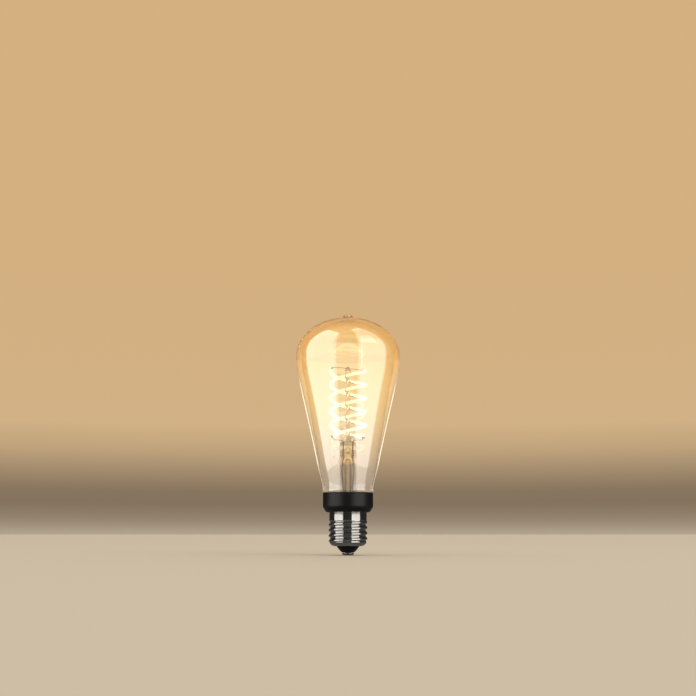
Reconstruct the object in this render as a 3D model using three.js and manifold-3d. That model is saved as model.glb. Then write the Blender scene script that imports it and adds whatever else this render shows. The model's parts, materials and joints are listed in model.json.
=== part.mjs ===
// Smart filament light bulb with an E27 screw cap, in millimetres.
// +Z points up to the tip of the glass; the origin is the middle of the centre contact's lower face.
// Angles run counter-clockwise from +X as seen from above; the front of the bulb faces -Y.
import * as THREE from "three";
import { mergeVertices } from "three/addons/utils/BufferGeometryUtils.js";
import Module from "manifold-3d";

const wasm = await Module();
wasm.setup();

// ---------------------------------------------------------------- driving dimensions
const GAP = 0.3; // clearance between touching pieces

const GLASS_TOP = 166; // tip of the glass nub
const GLASS_RADIUS = 36.2; // widest place of the envelope
const GLASS_WIDE_Z = 137; // height of the widest place
const CROWN_HEIGHT = 26.6; // the crown is half an ellipse of this height
const NUB_RADIUS = 2.9; // flat top of the nub
const NUB_RISE = GLASS_TOP - GLASS_WIDE_Z - CROWN_HEIGHT; // height of the nub over the crown
const NUB_FOOT = 6.2; // where the nub meets the crown
const CHEEK_ARC = 80; // radius of the arc below the widest place
const TAPER_ARC = 1983; // radius of the hardly hollow taper below that arc
const CHEEK_END = 13.7; // slope from vertical, degrees, where cheek and taper meet
const TAPER_END = 11.98; // slope at the lower end of the taper
const GLASS_WALL = 0.9;
const NECK_RADIUS = 17.2; // visible neck, flush with the collar
const NECK_TOP = 44.5; // where the neck starts to open into the taper
const NECK_HANDLE = 4; // length of the curve handles between neck and taper
const NECK_INSERT = 15.5; // part of the neck that sits inside the collar
const NECK_BOTTOM = 34.5;

const STEM_RADIUS = 5.8; // flare tube, outside
const STEM_WALL = 0.9;
const FLARE_RIM = 14.2;
const FLARE_START = 42.5; // height where the tube starts to widen downwards
const FLARE_DROP = 7.3;
const PRESS_TOP = 76.9;
const PRESS_DEPTH = 2.4; // half thickness of the flattened press
const CHANNEL_LENGTH = 20; // bores for the lead wires, from above the press into the tube
const EXHAUST_RADIUS = 2.4;
const EXHAUST_WALL = 0.7;
const ARBOR_RADIUS = 1.2;
const BUTTON_RADIUS = 2;
const BUTTON_BOTTOM = 122.5;
const ARBOR_TOP = 129.2;

const HELIX_RADIUS = 12.2; // centre line of the filament strands
const STRAND_RADIUS = 1;
const HELIX_LEAD = 19; // rise of one strand in one turn
const HELIX_MID_Z = 126; // height of strand A where it passes 180 degrees
const STRAND_TOP_ANGLE = 200;
const STRAND_BOTTOM_ANGLE = -685;
const CLIP_RADIUS = 0.75;
const CLIP_SWEEP = 10; // degrees of the helix that an end clip covers
const CLIP_GAP = 1.6; // the same for the clearance beside it
const LEAD_RADIUS = 0.35;
const HOOK_WIRE = 0.22;
const LEAD_X = 3.2; // lead wires in the press, either side of the axis

const COLLAR_TOP = 41.7;
const COLLAR_BOTTOM = 28.6;
const COLLAR_RADIUS = 17.15;
const COLLAR_SIDE = 32.8; // height where the upright side starts, above the rounded edge
const COLLAR_FOOT = 13.8; // radius of the lower edge
const RIM_RECESS = 0.4; // step in the lower face that takes the cap shell's rim
const COLLAR_BORE = 16;
const COLLAR_LEDGE = 32.5; // ledge that carries the neck cement
const LEDGE_BORE = 12.4;
const SPIGOT_BOTTOM = 24; // the collar's skirt inside the cap shell
const SPIGOT_RADIUS = 12;
const SPIGOT_BORE = 10.9;

const THREAD_PITCH = 3.629; // E27
const THREAD_CREST = 13.15;
const THREAD_ROOT = 12;
const THREAD_PHASE_Z = 18.4; // height of a crest at angle 0
const SHELL_BOTTOM = 6;
const SHELL_MOUTH = 8.35; // radius of the shell's lower opening
const SHOULDER_TOP = 9.3;
const BAND_BOTTOM = 23.3; // smooth band above the thread
const BAND_RADIUS = 12.7;
const SHELL_WALL = 0.4;
const INSULATOR_RADIUS = 7.6;
const INSULATOR_BORE = 2.5;
const INSULATOR_TOP = 8.2;
const CONTACT_FLAT = 2.9;
const CONTACT_RADIUS = 4;
const CONTACT_HEIGHT = 1.5;
const SHANK_RADIUS = 2.2; // rivet shank of the contact
const SHANK_TOP = 8.6;

const BOARD_WIDTH = 19.2;
const BOARD_BOTTOM = 9.6;
const BOARD_TOP = 31.6;
const BOARD_THICKNESS = 1.2;
const BOARD_FACE = BOARD_THICKNESS / 2 + GAP; // distance of parts from the board's middle plane

const RADIO_BOARD = 0.8; // thickness of the radio module's own board

const ROUND_SIDES = 40; // sides of the large round pieces
const SMALL_SIDES = 16;

// ---------------------------------------------------------------- materials
const amberGlass = { color: 0xe0a050, roughness: 0.05, metalness: 0, transparent: true, opacity: 0.35 };
const clearGlass = { color: 0xe8ece8, roughness: 0.05, metalness: 0, transparent: true, opacity: 0.4 };
const glow = { color: 0xffefc4, roughness: 0.6, metalness: 0, emissive: 0xffe2a0 };
const wireMetal = { color: 0x6e6a60, roughness: 0.4, metalness: 1 };
const blackPlastic = { color: 0x0b0b0c, roughness: 0.55, metalness: 0 };
const blackGloss = { color: 0x070707, roughness: 0.15, metalness: 0 };
const nickel = { color: 0xc9c9c6, roughness: 0.18, metalness: 1 };
const contactMetal = { color: 0x77746d, roughness: 0.4, metalness: 1 };
const copper = { color: 0xb06a3c, roughness: 0.35, metalness: 1 };
const circuitBoard = { color: 0x1d5c34, roughness: 0.6, metalness: 0 };
const silicone = { color: 0xe6e4dc, roughness: 0.7, metalness: 0 };
const aluminiumCan = { color: 0xbfc2c4, roughness: 0.3, metalness: 1 };
const ferrite = { color: 0x33312f, roughness: 0.8, metalness: 0 };
const filmYellow = { color: 0xc9a227, roughness: 0.5, metalness: 0 };
const ceramicBlue = { color: 0x6d93a8, roughness: 0.6, metalness: 0 };

// ---------------------------------------------------------------- helpers
const bulb = new THREE.Group();
const toRadians = THREE.MathUtils.degToRad;

function add(name, geometry, look) {
  const mesh = new THREE.Mesh(geometry, new THREE.MeshStandardMaterial(look));
  mesh.name = name;
  bulb.add(mesh);
  return mesh;
}

// Points of an elliptic arc in the (radius, height) plane; angles in degrees from the +radius axis.
function arc(centreR, centreZ, radiusR, radiusZ, from, to, steps) {
  const points = [];
  for (let i = 0; i <= steps; i += 1) {
    const angle = toRadians(from + ((to - from) * i) / steps);
    points.push([centreR + radiusR * Math.cos(angle), centreZ + radiusZ * Math.sin(angle)]);
  }
  return points;
}

// Solid of revolution about +Z from [radius, height] points, listed from the bottom up outside.
function turned(points, sides = SMALL_SIDES) {
  const profile = points.map(([r, z]) => new THREE.Vector2(Math.max(r, 0), z));
  return new THREE.LatheGeometry(profile, sides).rotateX(Math.PI / 2);
}

// The same for a ring: the profile closes on itself.
function turnedRing(points, sides = SMALL_SIDES) {
  return turned([...points, points[0]], sides);
}

function box(width, depth, height) {
  return new THREE.BoxGeometry(width, depth, height);
}

// Round wire along a curve.
function wire(curve, radius, steps, sides = 6) {
  const section = new THREE.Shape();
  section.absarc(0, 0, radius, 0, Math.PI * 2);
  // a full circle is drawn with two points per curve segment
  const settings = { steps, curveSegments: sides / 2, bevelEnabled: false, extrudePath: curve };
  return new THREE.ExtrudeGeometry(section, settings);
}

function wireThrough(points, radius, steps) {
  const places = points.map(([x, y, z]) => new THREE.Vector3(x, y, z));
  return wire(new THREE.CatmullRomCurve3(places, false, "centripetal"), radius, steps);
}

function toManifold(geometry) {
  const bare = geometry.clone();
  bare.deleteAttribute("normal");
  bare.deleteAttribute("uv");
  const merged = mergeVertices(bare, 1e-4);
  return new wasm.Manifold(
    new wasm.Mesh({
      numProp: 3,
      vertProperties: new Float32Array(merged.attributes.position.array),
      triVerts: new Uint32Array(merged.index.array),
    }),
  );
}

function fromManifold(solid) {
  const mesh = solid.getMesh();
  const geometry = new THREE.BufferGeometry();
  geometry.setAttribute("position", new THREE.BufferAttribute(mesh.vertProperties, 3));
  geometry.setIndex(new THREE.BufferAttribute(mesh.triVerts, 1));
  geometry.computeVertexNormals();
  return geometry;
}

// Closed skin over rings of points; the first and last ring shrink to one point each.
// Each ring is a function of the angle that gives [x, y, z].
function skin(firstPole, rings, lastPole, sides) {
  const positions = [...firstPole];
  for (const ring of rings) {
    for (let side = 0; side < sides; side += 1) {
      positions.push(...ring((side / sides) * Math.PI * 2));
    }
  }
  positions.push(...lastPole);
  const index = [];
  const last = positions.length / 3 - 1;
  const at = (row, side) => 1 + row * sides + (side % sides);
  for (let side = 0; side < sides; side += 1) {
    index.push(0, at(0, side + 1), at(0, side));
    for (let row = 0; row + 1 < rings.length; row += 1) {
      index.push(at(row, side), at(row, side + 1), at(row + 1, side + 1));
      index.push(at(row, side), at(row + 1, side + 1), at(row + 1, side));
    }
    index.push(at(rings.length - 1, side), at(rings.length - 1, side + 1), last);
  }
  const geometry = new THREE.BufferGeometry();
  geometry.setAttribute("position", new THREE.Float32BufferAttribute(positions, 3));
  geometry.setIndex(index);
  geometry.computeVertexNormals();
  return geometry;
}

// ---------------------------------------------------------------- glass envelope
// Outline of the glass from the collar up to the tip, moved inwards by `inset`.
function glassOutline(inset, crownSteps, taperSteps) {
  const crownAt = (r) => GLASS_WIDE_Z + CROWN_HEIGHT * Math.sqrt(1 - (r / GLASS_RADIUS) ** 2);
  const cheekCentre = GLASS_RADIUS - CHEEK_ARC;
  const cheekZ = GLASS_WIDE_Z - CHEEK_ARC * Math.sin(toRadians(CHEEK_END));
  const cheekR = cheekCentre + CHEEK_ARC * Math.cos(toRadians(CHEEK_END));
  const taperCentreR = cheekR + TAPER_ARC * Math.cos(toRadians(CHEEK_END));
  const taperCentreZ = cheekZ - TAPER_ARC * Math.sin(toRadians(CHEEK_END));
  const [low, high] = [180 - TAPER_END, 180 - CHEEK_END];
  const taper = arc(taperCentreR, taperCentreZ, TAPER_ARC, TAPER_ARC, low, high, taperSteps);
  const [footR, footZ] = taper[0];
  const reach = NECK_HANDLE * Math.tan(toRadians(TAPER_END));
  const shoulder = new THREE.CubicBezierCurve(
    new THREE.Vector2(NECK_RADIUS, NECK_TOP),
    new THREE.Vector2(NECK_RADIUS, NECK_TOP + NECK_HANDLE),
    new THREE.Vector2(footR - reach, footZ - NECK_HANDLE),
    new THREE.Vector2(footR, footZ),
  );
  const outer = [
    ...shoulder.getPoints(4).map((p) => [p.x, p.y]),
    ...taper.slice(1),
    ...arc(cheekCentre, GLASS_WIDE_Z, CHEEK_ARC, CHEEK_ARC, -CHEEK_END, 0, 3).slice(1),
    ...arc(0, GLASS_WIDE_Z, GLASS_RADIUS, CROWN_HEIGHT, 0, 80, crownSteps).slice(1),
    [NUB_FOOT * 0.75, crownAt(NUB_FOOT) + NUB_RISE * 0.35],
    [NUB_RADIUS * 1.2, GLASS_TOP - NUB_RISE * 0.25],
    [NUB_RADIUS, GLASS_TOP],
  ];
  if (inset === 0) {
    return outer;
  }
  const tipless = outer.slice(0, -3);
  return tipless.map(([r, z], i) => {
    const [r0, z0] = tipless[Math.max(i - 1, 0)];
    const [r1, z1] = tipless[Math.min(i + 1, tipless.length - 1)];
    const length = Math.hypot(r1 - r0, z1 - z0);
    return [r - (inset * (z1 - z0)) / length, z + (inset * (r1 - r0)) / length];
  });
}

function glassEnvelope() {
  const insertBore = NECK_INSERT - GLASS_WALL;
  const stepZ = COLLAR_TOP + GAP;
  const outside = [
    [NECK_INSERT - 0.3, NECK_BOTTOM],
    [NECK_INSERT, NECK_BOTTOM + 0.4],
    [NECK_INSERT, stepZ - 0.6],
    [NECK_INSERT + 0.5, stepZ],
    [NECK_RADIUS - 0.3, stepZ + 0.1],
    [NECK_RADIUS, stepZ + 0.6],
    ...glassOutline(0, 9, 4),
    [0, GLASS_TOP],
  ];
  const inside = [
    [insertBore + 0.2, NECK_BOTTOM],
    [insertBore, NECK_BOTTOM + 0.3],
    [insertBore, stepZ - 0.2],
    [NECK_RADIUS - GLASS_WALL, stepZ + 1.8],
    ...glassOutline(GLASS_WALL, 6, 3),
    [0, GLASS_WIDE_Z + CROWN_HEIGHT - GLASS_WALL],
  ];
  return turned([...inside.reverse(), ...outside], ROUND_SIDES);
}

// ---------------------------------------------------------------- stem, exhaust tube and arbor
// Ring with half width a, half depth b and corner power n (2 is an ellipse).
function pressRing(a, b, z, n = 2) {
  const bend = (value) => Math.sign(value) * Math.abs(value) ** (2 / n);
  return (angle) => [a * bend(Math.cos(angle)), b * bend(Math.sin(angle)), z];
}

function stemFlare() {
  const centreR = FLARE_RIM + 0.1;
  const outerR = centreR - STEM_RADIUS;
  const rings = [];
  const bore = STEM_RADIUS - STEM_WALL;
  // inside, from the dome in the press down to the flare's mouth
  rings.push(pressRing(1.2, 0.8, 72.6));
  rings.push(pressRing(1.9, 1.3, 71.2));
  rings.push(pressRing(2.2, 1.6, 68.4));
  rings.push(pressRing(2.8, 2.3, 66.4));
  rings.push(pressRing(4.5, 2.9, 65.4));
  rings.push(pressRing(4.8, 3.7, 64));
  rings.push(pressRing(bore, 4.6, 62));
  rings.push(pressRing(bore, bore, 60));
  for (const [r, z] of arc(centreR, FLARE_START, outerR + STEM_WALL, FLARE_DROP + STEM_WALL, 180, 266, 6)) {
    rings.push(pressRing(r, r, z));
  }
  // outside, from the rim back up to the top of the press
  for (const [r, z] of arc(centreR, FLARE_START, outerR, FLARE_DROP, 266, 180, 6)) {
    rings.push(pressRing(r, r, z));
  }
  rings.push(pressRing(STEM_RADIUS, STEM_RADIUS, 60));
  rings.push(pressRing(STEM_RADIUS, 5.5, 62));
  rings.push(pressRing(STEM_RADIUS, 4.6, 64));
  rings.push(pressRing(STEM_RADIUS, 3.7, 66));
  rings.push(pressRing(STEM_RADIUS, 2.9, 68, 2.6));
  rings.push(pressRing(STEM_RADIUS, PRESS_DEPTH, 70, 3.5));
  rings.push(pressRing(STEM_RADIUS, PRESS_DEPTH, 74.6, 3.5));
  rings.push(pressRing(5.4, PRESS_DEPTH - 0.2, 75.7, 3));
  rings.push(pressRing(4.6, PRESS_DEPTH - 0.7, 76.6, 2.6));
  rings.push(pressRing(3.9, PRESS_DEPTH - 1.2, PRESS_TOP, 2.3));
  const body = toManifold(skin([0, 0, 73], rings, [0, 0, PRESS_TOP], 24));
  const bare = LEAD_RADIUS + GAP;
  const channel = new THREE.CylinderGeometry(bare, bare, CHANNEL_LENGTH, 8).rotateX(Math.PI / 2);
  const middle = PRESS_TOP + 5 - CHANNEL_LENGTH / 2;
  const left = toManifold(channel.clone().translate(-LEAD_X, 0, middle));
  const right = toManifold(channel.clone().translate(LEAD_X, 0, middle));
  return fromManifold(body.subtract(left).subtract(right));
}

function exhaustTube() {
  const bore = EXHAUST_RADIUS - EXHAUST_WALL;
  const top = 64.8;
  const tip = 35.5;
  const inside = [
    [0, tip + 2.2],
    [bore * 0.7, tip + 2.8],
    [bore, tip + 4.5],
    [bore, top],
  ];
  const outside = [
    [EXHAUST_RADIUS, top],
    [EXHAUST_RADIUS, tip + 4],
    [EXHAUST_RADIUS * 0.75, tip + 1.2],
    [0.8, tip],
    [0, tip],
  ];
  return turned([...outside.reverse(), ...inside.reverse()], 16);
}

function arborRod(crossWirePath) {
  const rod = turned(
    [
      [0, PRESS_TOP + GAP],
      [ARBOR_RADIUS * 1.5, PRESS_TOP + GAP],
      [ARBOR_RADIUS, PRESS_TOP + 1.6],
      [ARBOR_RADIUS, BUTTON_BOTTOM],
      [BUTTON_RADIUS, BUTTON_BOTTOM + 1.6],
      [BUTTON_RADIUS, ARBOR_TOP - 1.2],
      [BUTTON_RADIUS * 0.7, ARBOR_TOP - 0.3],
      [0, ARBOR_TOP],
    ],
    12,
  );
  const channel = wire(crossWirePath, LEAD_RADIUS + GAP, 12, 8);
  return fromManifold(toManifold(rod).subtract(toManifold(channel)));
}

// ---------------------------------------------------------------- filament strands
// Point of a strand's centre line; start is 0 for strand A and 180 for strand B.
function helixPoint(angle, start, radius = HELIX_RADIUS) {
  const turn = toRadians(angle + start);
  const height = HELIX_MID_Z + (HELIX_LEAD * (angle - 180)) / 360;
  return new THREE.Vector3(radius * Math.cos(turn), radius * Math.sin(turn), height);
}

class HelixCurve extends THREE.Curve {
  constructor(from, to, start) {
    super();
    this.from = from;
    this.to = to;
    this.start = start;
  }

  getPoint(t, target = new THREE.Vector3()) {
    return target.copy(helixPoint(this.from + (this.to - this.from) * t, this.start));
  }
}

function addStrand(letter, start) {
  const strand = new HelixCurve(STRAND_BOTTOM_ANGLE, STRAND_TOP_ANGLE, start);
  add(`led_filament_${letter}`, wire(strand, STRAND_RADIUS, 60, 6), glow);
  const topFrom = STRAND_TOP_ANGLE + CLIP_GAP;
  const bottomFrom = STRAND_BOTTOM_ANGLE - CLIP_GAP;
  const topClip = new HelixCurve(topFrom, topFrom + CLIP_SWEEP, start);
  const bottomClip = new HelixCurve(bottomFrom - CLIP_SWEEP, bottomFrom, start);
  add(`clip_${letter}_top`, wire(topClip, CLIP_RADIUS, 2), wireMetal);
  add(`clip_${letter}_bottom`, wire(bottomClip, CLIP_RADIUS, 2), wireMetal);
}

// The straight wire through the button, from clip to clip of the two upper ends.
function crossWireCurve() {
  const clipEnd = STRAND_TOP_ANGLE + CLIP_GAP + CLIP_SWEEP;
  const end = helixPoint(clipEnd + 2 * CLIP_GAP, 0);
  const near = helixPoint(clipEnd + 2 * CLIP_GAP, 0, 5);
  near.z = 128;
  const places = [
    end,
    near,
    new THREE.Vector3(0, 0, 128),
    new THREE.Vector3(-near.x, -near.y, near.z),
    new THREE.Vector3(-end.x, -end.y, end.z),
  ];
  return new THREE.CatmullRomCurve3(places, false, "centripetal");
}

// The hook that every support wire ends in: it passes under the strand and curls up outside it.
function hookPlaces(strandAngle, start) {
  const centre = helixPoint(strandAngle, start);
  const curl = STRAND_RADIUS + GAP + HOOK_WIRE + 0.05;
  const direction = toRadians(strandAngle + start);
  return arc(HELIX_RADIUS, centre.z, curl, curl, 255, 390, 5).map(([r, z]) => [
    r * Math.cos(direction),
    r * Math.sin(direction),
    z,
  ]);
}

// A support wire: straight out from the arbor to its hook.
function supportHook(strandAngle, start) {
  const direction = toRadians(strandAngle + start);
  const height = helixPoint(strandAngle, start).z;
  const root = ARBOR_RADIUS + GAP;
  const middle = HELIX_RADIUS / 2;
  const places = [
    [root * Math.cos(direction), root * Math.sin(direction), height - 1.2],
    [middle * Math.cos(direction), middle * Math.sin(direction), height - 1.4],
    ...hookPlaces(strandAngle, start),
  ];
  return wireThrough(places, HOOK_WIRE, 14);
}

// The lowest support stands on the press beside the arbor.
function baseAnchor(strandAngle) {
  const places = [
    [2, 1.1, PRESS_TOP + GAP],
    [2, 1.2, 79.6],
    [2.3, 3, 80.9],
    ...hookPlaces(strandAngle, 0),
  ];
  return wireThrough(places, HOOK_WIRE, 18);
}

// ---------------------------------------------------------------- lead-in wires
function upperLead(side) {
  const clipEnd = helixPoint(STRAND_BOTTOM_ANGLE - CLIP_SWEEP - 3 * CLIP_GAP, 0);
  return wireThrough(
    [
      [side * LEAD_X, 0, PRESS_TOP + 0.1],
      [side * (LEAD_X + 0.5), 0, PRESS_TOP + 0.7],
      [side * (LEAD_X + 2.5), 0, PRESS_TOP + 1],
      [side * 9.2, side * 1.2, PRESS_TOP + 1.2],
      [side * clipEnd.x, side * clipEnd.y, clipEnd.z],
    ],
    LEAD_RADIUS,
    14,
  );
}

function lowerLead(side) {
  return wireThrough(
    [
      [side * 3.6, -1.7, 31],
      [side * 3.4, -1.2, 36],
      [side * 3.3, -0.4, 44],
      [side * 3.5, 0, 50],
      [side * 4.1, 0, 55.5],
      [side * 4.25, 0, 59],
      [side * 3.8, 0, 62.3],
      [side * LEAD_X, 0, 65.5],
      [side * LEAD_X, 0, 70],
      [side * LEAD_X, 0, PRESS_TOP - 0.6],
    ],
    LEAD_RADIUS,
    26,
  );
}

// ---------------------------------------------------------------- collar and neck cement
function collar() {
  const outside = [
    [SPIGOT_BORE, SPIGOT_BOTTOM],
    [SPIGOT_RADIUS, SPIGOT_BOTTOM],
    [SPIGOT_RADIUS, COLLAR_BOTTOM + RIM_RECESS],
    [BAND_RADIUS + GAP, COLLAR_BOTTOM + RIM_RECESS],
    [BAND_RADIUS + GAP, COLLAR_BOTTOM],
    [COLLAR_FOOT, COLLAR_BOTTOM],
    [COLLAR_FOOT + 1.1, COLLAR_BOTTOM + 0.3],
    [COLLAR_FOOT + 1.8, COLLAR_BOTTOM + 1],
    ...arc(COLLAR_RADIUS - 2, COLLAR_SIDE, 2, 2.4, -40, 0, 3),
    [COLLAR_RADIUS, COLLAR_TOP - 0.2],
    [COLLAR_RADIUS - 0.2, COLLAR_TOP],
    [COLLAR_BORE, COLLAR_TOP],
    [COLLAR_BORE, COLLAR_LEDGE],
    [LEDGE_BORE, COLLAR_LEDGE],
    [LEDGE_BORE, COLLAR_LEDGE - 2.1],
    [SPIGOT_BORE, COLLAR_LEDGE - 3.1],
  ];
  let solid = toManifold(turnedRing(outside, ROUND_SIDES));
  // two pairs of ribs hold the edges of the circuit board
  const ribDepth = 1;
  const ribWidth = 3;
  const ribHeight = 4.4;
  const ribX = BOARD_WIDTH / 2 - 1.2 + ribWidth / 2;
  const ribY = BOARD_FACE + ribDepth / 2;
  for (const x of [-ribX, ribX]) {
    for (const y of [-ribY, ribY]) {
      const rib = box(ribWidth, ribDepth, ribHeight).translate(x, y, SPIGOT_BOTTOM + 2.4);
      solid = solid.add(toManifold(rib));
    }
  }
  return fromManifold(solid);
}

function neckCement() {
  const bottom = COLLAR_LEDGE + GAP;
  const top = NECK_BOTTOM - GAP;
  return turnedRing(
    [
      [LEDGE_BORE + 0.4, bottom],
      [COLLAR_BORE - GAP, bottom],
      [COLLAR_BORE - GAP, top],
      [LEDGE_BORE + 1, top],
    ],
    24,
  );
}

// ---------------------------------------------------------------- cap
// Closed tube-like skin whose last ring joins the first one.
function ringSkin(rings, sides) {
  const positions = [];
  for (const ring of rings) {
    for (let side = 0; side < sides; side += 1) {
      positions.push(...ring((side / sides) * Math.PI * 2));
    }
  }
  const index = [];
  const at = (row, side) => (row % rings.length) * sides + (side % sides);
  for (let row = 0; row < rings.length; row += 1) {
    for (let side = 0; side < sides; side += 1) {
      index.push(at(row, side), at(row, side + 1), at(row + 1, side + 1));
      index.push(at(row, side), at(row + 1, side + 1), at(row + 1, side));
    }
  }
  const geometry = new THREE.BufferGeometry();
  geometry.setAttribute("position", new THREE.Float32BufferAttribute(positions, 3));
  geometry.setIndex(index);
  geometry.computeVertexNormals();
  return geometry;
}

// Outer radius of the shell: rounded shoulder, thread, smooth band.
function shellRadius(angle, z) {
  const middle = (THREAD_CREST + THREAD_ROOT) / 2;
  const depth = (THREAD_CREST - THREAD_ROOT) / 2;
  if (z < SHOULDER_TOP - 0.6) {
    const rise = (SHOULDER_TOP - z) / (SHOULDER_TOP - SHELL_BOTTOM);
    return SHELL_MOUTH + (middle - SHELL_MOUTH) * Math.sqrt(1 - rise ** 2);
  }
  if (z > BAND_BOTTOM) {
    return BAND_RADIUS;
  }
  const fadeIn = THREE.MathUtils.smoothstep(z, SHOULDER_TOP - 0.8, SHOULDER_TOP + 0.4);
  const fadeOut = 1 - THREE.MathUtils.smoothstep(z, BAND_BOTTOM - 1.6, BAND_BOTTOM);
  const phase = (2 * Math.PI * (z - THREAD_PHASE_Z)) / THREAD_PITCH - angle;
  const base = middle + (BAND_RADIUS - middle) * (1 - fadeOut);
  return base + depth * Math.cos(phase) * fadeIn * fadeOut;
}

function capShell() {
  const top = COLLAR_BOTTOM + RIM_RECESS - GAP;
  const heights = [];
  for (let i = 0; i <= 4; i += 1) {
    heights.push(SHOULDER_TOP - (SHOULDER_TOP - SHELL_BOTTOM) * Math.cos(toRadians(18 * i)));
  }
  for (let z = SHOULDER_TOP - 0.4; z < BAND_BOTTOM; z += THREAD_PITCH / 7) {
    heights.push(z);
  }
  heights.push(BAND_BOTTOM + 0.1, top);
  const bore = THREAD_ROOT - SHELL_WALL - 0.05;
  const mouth = SHELL_MOUTH - SHELL_WALL;
  const inner = [
    [BAND_RADIUS - SHELL_WALL, top],
    [BAND_RADIUS - SHELL_WALL, BAND_BOTTOM + 0.2],
    [bore, BAND_BOTTOM - 0.6],
    [bore, SHOULDER_TOP],
    ...arc(mouth, SHOULDER_TOP, bore - mouth, SHOULDER_TOP - SHELL_BOTTOM - SHELL_WALL, -30, -90, 2),
  ];
  const rings = heights.map((z) => (angle) => {
    const r = shellRadius(angle, z);
    return [r * Math.cos(angle), r * Math.sin(angle), z];
  });
  for (const [r, z] of inner) {
    rings.push((angle) => [r * Math.cos(angle), r * Math.sin(angle), z]);
  }
  return ringSkin(rings, 36);
}

function capInsulator() {
  const bottom = CONTACT_HEIGHT + GAP;
  return turnedRing(
    [
      [INSULATOR_BORE, bottom],
      [4.1, bottom],
      [5.6, 3.2],
      [7.2, 5.1],
      [INSULATOR_RADIUS, 5.6],
      [INSULATOR_RADIUS, INSULATOR_TOP],
      [INSULATOR_BORE, INSULATOR_TOP],
    ],
    32,
  );
}

function centreContact() {
  return turned(
    [
      [0, 0],
      [CONTACT_FLAT, 0],
      [CONTACT_RADIUS - 0.3, 0.9],
      [CONTACT_RADIUS, CONTACT_HEIGHT - 0.2],
      [CONTACT_RADIUS - 0.2, CONTACT_HEIGHT],
      [SHANK_RADIUS, CONTACT_HEIGHT],
      [SHANK_RADIUS, SHANK_TOP],
      [0, SHANK_TOP],
    ],
    24,
  );
}

// ---------------------------------------------------------------- electronics on the driver board
function addBoard() {
  const height = BOARD_TOP - BOARD_BOTTOM;
  const board = box(BOARD_WIDTH, BOARD_THICKNESS, height).translate(0, 0, BOARD_BOTTOM + height / 2);
  add("driver_board", board, circuitBoard);
}

// Electrolytic can that stands along +Z: crimped groove above its foot.
function addCan(name, x, y, bottom, radius, height) {
  const can = turned([
    [0, bottom],
    [radius, bottom],
    [radius, bottom + 0.8],
    [radius - 0.3, bottom + 1.2],
    [radius, bottom + 1.6],
    [radius, bottom + height - 0.3],
    [radius - 0.3, bottom + height],
    [0, bottom + height],
  ]);
  add(name, can, aluminiumCan).position.set(x, y, 0);
}

// Rectangular part on a face of the board; side is -1 for the front and 1 for the back.
function addBlock(name, side, x, z, width, depth, height, look, lift = 0) {
  const block = box(width, depth, height);
  add(name, block, look).position.set(x, side * (BOARD_FACE + lift + depth / 2), z);
}

function addInductor() {
  const drum = turned([
    [0, 11.5],
    [3, 11.5],
    [3, 12.6],
    [2.1, 12.9],
    [2.1, 16.1],
    [3, 16.4],
    [3, 17.5],
    [0, 17.5],
  ]);
  add("inductor", drum, ferrite).position.set(5.2, -4.1, 0);
}

function addFusibleResistor() {
  const body = turned(
    [
      [0, 11],
      [1.1, 11],
      [1.5, 11.6],
      [1.3, 12.6],
      [1.3, 17.4],
      [1.5, 18.4],
      [1.1, 19],
      [0, 19],
    ],
    12,
  );
  add("fusible_resistor", body, ceramicBlue).position.set(0, -3.4, 0);
}

// Printed antenna: a flat meander of upright tracks on the upper end of the radio board.
function addAntenna() {
  const track = 0.5;
  const step = 1.2;
  const low = 27.6;
  const high = 30.4;
  const bars = 8;
  const thickness = 0.2;
  let meander = null;
  for (let i = 0; i < bars; i += 1) {
    const x = (i - (bars - 1) / 2) * step;
    const bar = toManifold(box(track, thickness, high - low).translate(x, 0, (high + low) / 2));
    meander = meander === null ? bar : meander.add(bar);
    if (i + 1 < bars) {
      const linkZ = i % 2 === 0 ? high - track / 2 : low + track / 2;
      const link = box(step + track, thickness, track).translate(x + step / 2, 0, linkZ);
      meander = meander.add(toManifold(link));
    }
  }
  add("antenna", fromManifold(meander), copper).position.set(0, BOARD_FACE + RADIO_BOARD + GAP + 0.1, 0);
}

// ---------------------------------------------------------------- assembly
add("glass_envelope", glassEnvelope(), amberGlass);
add("stem_flare", stemFlare(), clearGlass);
add("exhaust_tube", exhaustTube(), clearGlass);
const crossWire = crossWireCurve();
add("arbor_rod", arborRod(crossWire), clearGlass);
add("cross_wire", wire(crossWire, LEAD_RADIUS, 16), wireMetal);
addStrand("a", 0);
addStrand("b", 180);

// Four levels of support wires; each level holds one strand at the front and one at the back.
const FRONT_HOOK = 262;
const BACK_HOOK = 70;
for (let level = 0; level < 4; level += 1) {
  const drop = 180 * level;
  const onA = level % 2 === 0 ? BACK_HOOK : FRONT_HOOK - 180;
  const onB = level % 2 === 0 ? FRONT_HOOK - 180 : BACK_HOOK;
  add(`support_hook_${2 * level + 1}`, supportHook(onA - drop, 0), wireMetal);
  add(`support_hook_${2 * level + 2}`, supportHook(onB - drop, 180), wireMetal);
}

add("base_anchor", baseAnchor(BACK_HOOK - 720), wireMetal);

for (const [side, name] of [[-1, "left"], [1, "right"]]) {
  add(`upper_lead_${name}`, upperLead(side), wireMetal);
  add(`lower_lead_${name}`, lowerLead(side), copper);
}

add("collar", collar(), blackPlastic);
add("neck_cement", neckCement(), silicone);
add("cap_shell", capShell(), nickel);
add("cap_insulator", capInsulator(), blackGloss);
add("centre_contact", centreContact(), contactMetal);

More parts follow.
